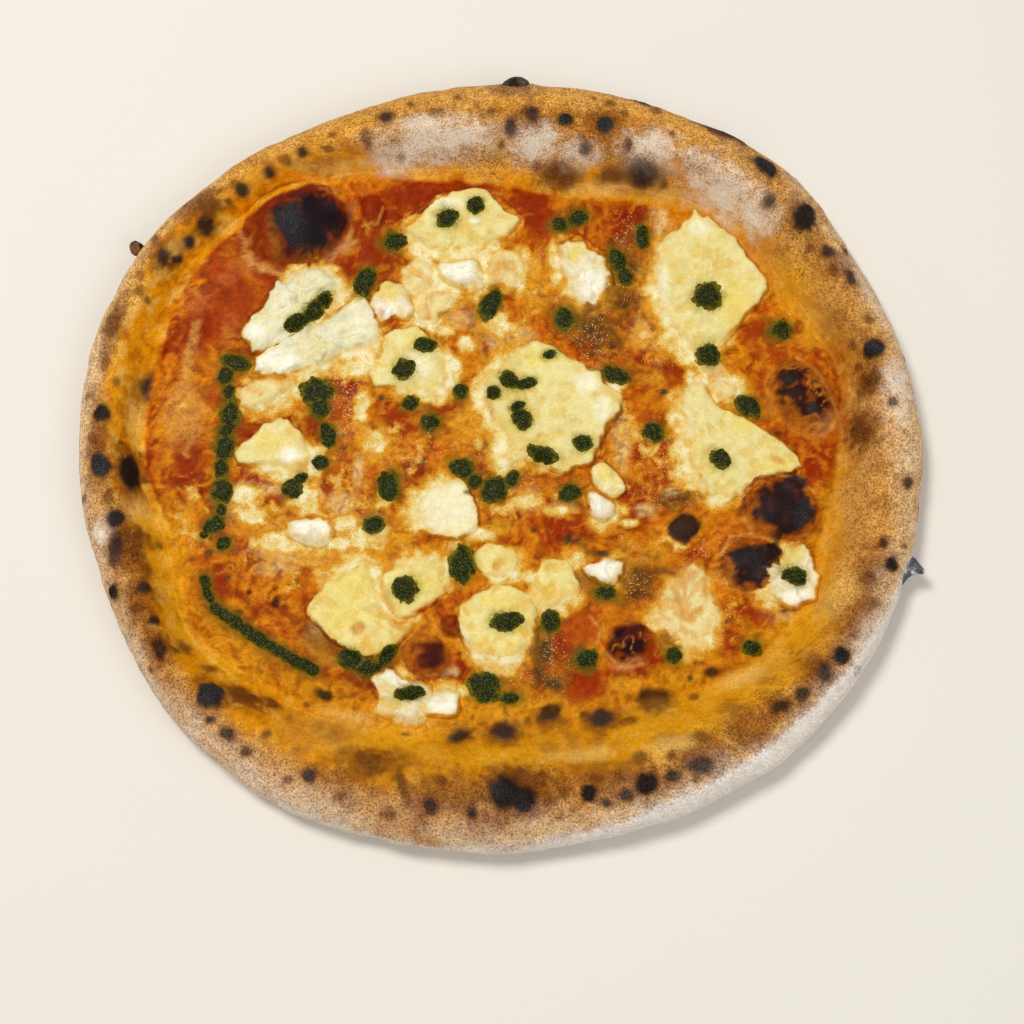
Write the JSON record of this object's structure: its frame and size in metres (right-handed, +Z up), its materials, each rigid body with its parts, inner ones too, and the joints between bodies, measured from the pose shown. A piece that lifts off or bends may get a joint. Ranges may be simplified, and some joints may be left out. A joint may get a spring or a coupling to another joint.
{
  "type": "four cheese pizza",
  "caption": "Whole round pizza with a tall, puffed and blistered crust, melted tomato and cheese, pieces of cheese and drops of pesto.",
  "frame": {"origin": "middle of the underside's box, on the surface that the pizza lies on", "axes": "+Z up; +X to the right and +Y away from the viewer in the picture"},
  "size_m": [0.3186, 0.2986, 0.0248],
  "materials": {
    "crust": "dry baked dough, floury outside, brown and black blisters",
    "sauce": "wet, oily melted tomato and cheese with drops of pesto",
    "cheese": "soft melted cheese, cream to white, slightly shiny"
  },
  "bodies": {
    "root": {"crust": "crust", "sauce": "sauce", "slice_top": "cheese", "curd_top_white": "cheese", "curd_top_right": "cheese", "curd_top_left": "cheese", "curd_net": "cheese", "chunk_upper": "cheese", "slab_upper": "cheese", "slab_lower": "cheese", "slab_foot": "cheese", "slice_left": "cheese", "chunk_tall": "cheese", "slice_right": "cheese", "slice_right_tail": "cheese", "slice_east": "cheese", "slice_middle": "cheese", "disc_centre": "cheese", "chunk_yellow": "cheese", "chunk_white": "cheese", "slice_triangle": "cheese", "curd_left": "cheese", "disc_large": "cheese", "disc_fold": "cheese", "disc_lower": "cheese", "disc_small": "cheese", "disc_pale": "cheese", "curd_small": "cheese", "slice_melted": "cheese", "curd_edge": "cheese", "curd_bubble": "cheese", "curd_bottom": "cheese"}
  },
  "joints": []
}
